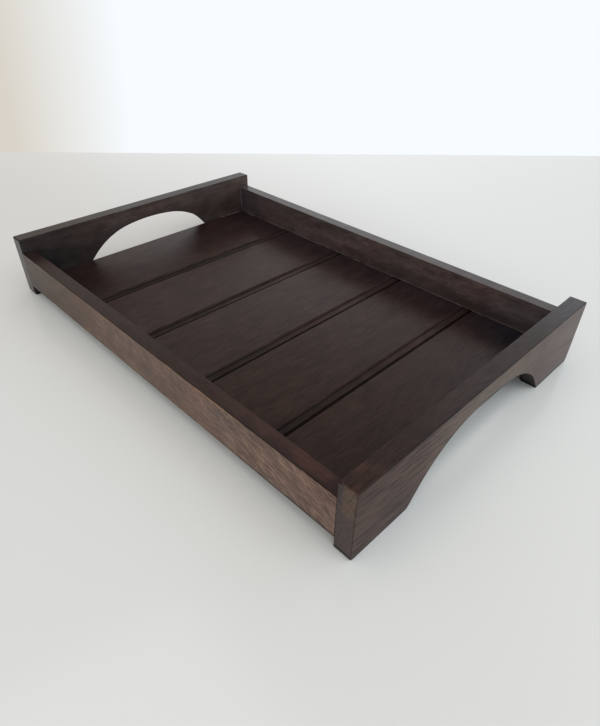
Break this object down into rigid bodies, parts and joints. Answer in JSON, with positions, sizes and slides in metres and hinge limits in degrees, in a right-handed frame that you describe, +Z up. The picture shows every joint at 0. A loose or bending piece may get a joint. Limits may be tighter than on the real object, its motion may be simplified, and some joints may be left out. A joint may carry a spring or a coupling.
{
  "type": "serving tray",
  "caption": "Rectangular wooden serving tray with low side rails, a grooved floor of lapped boards, and taller end boards whose arched cut-outs leave feet below and hand holds above.",
  "frame": {"origin": "on the table surface, under the middle of the tray", "axes": "+X along the tray from the left end board to the right one, +Y across it from the front rail to the back rail, +Z up"},
  "size_m": [0.462, 0.3, 0.0625],
  "materials": {
    "end_board_wood": "dark walnut stain under satin lacquer",
    "rail_wood": "dark walnut stain under satin lacquer",
    "floor_wood": "dark walnut stain under satin lacquer",
    "dowel_wood": "bare beech, glued",
    "pin_steel": "plain bright steel"
  },
  "bodies": {
    "root": {"end_board_left": "end_board_wood", "end_board_right": "end_board_wood", "side_rail_front": "rail_wood", "side_rail_back": "rail_wood", "floor_board_1": "floor_wood", "floor_board_2": "floor_wood", "floor_board_3": "floor_wood", "floor_board_4": "floor_wood", "floor_board_5": "floor_wood", "corner_dowels_front_left": "dowel_wood", "corner_dowels_front_right": "dowel_wood", "corner_dowels_back_left": "dowel_wood", "corner_dowels_back_right": "dowel_wood", "floor_pins_front": "pin_steel", "floor_pins_back": "pin_steel"}
  },
  "joints": []
}
